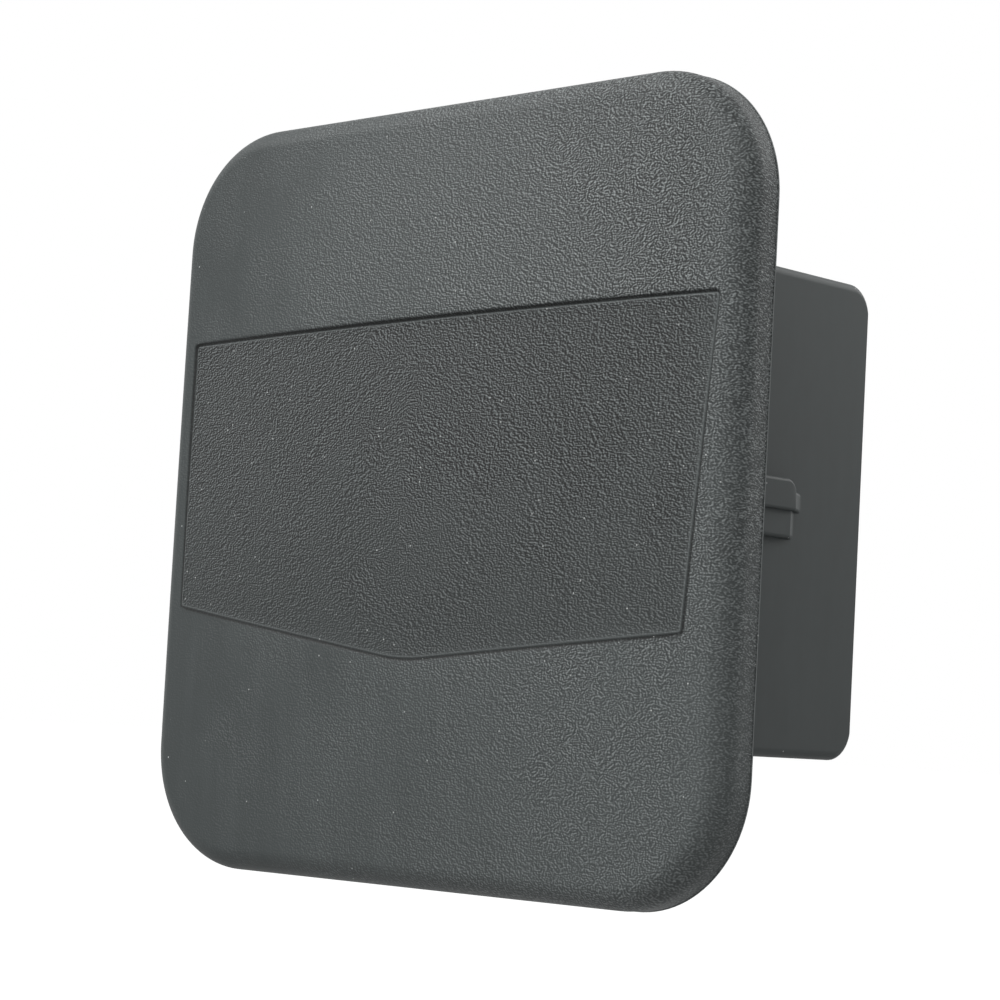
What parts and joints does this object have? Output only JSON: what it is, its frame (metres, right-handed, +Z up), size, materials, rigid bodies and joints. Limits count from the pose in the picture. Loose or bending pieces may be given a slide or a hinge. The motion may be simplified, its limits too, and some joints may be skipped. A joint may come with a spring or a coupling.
{
  "type": "hitch receiver cover",
  "caption": "Moulded rubber cover with a square pillow-shaped plate, a shallow five-sided field in its face and an H-shaped push-in plug that closes a tow hitch receiver tube.",
  "frame": {"origin": "middle of the plate's flat back, on the axis of the receiver tube", "axes": "+Z up, the face looks along -Y, the plug points along +Y into the tube, +X to the right seen from the front"},
  "size_m": [0.08, 0.0418, 0.08],
  "materials": {
    "moulded_rubber": "matt moulded rubber with a fine leather grain on the face, greyed black, smooth on the plug"
  },
  "bodies": {
    "root": {"receiver_cover": "moulded_rubber"}
  },
  "joints": []
}
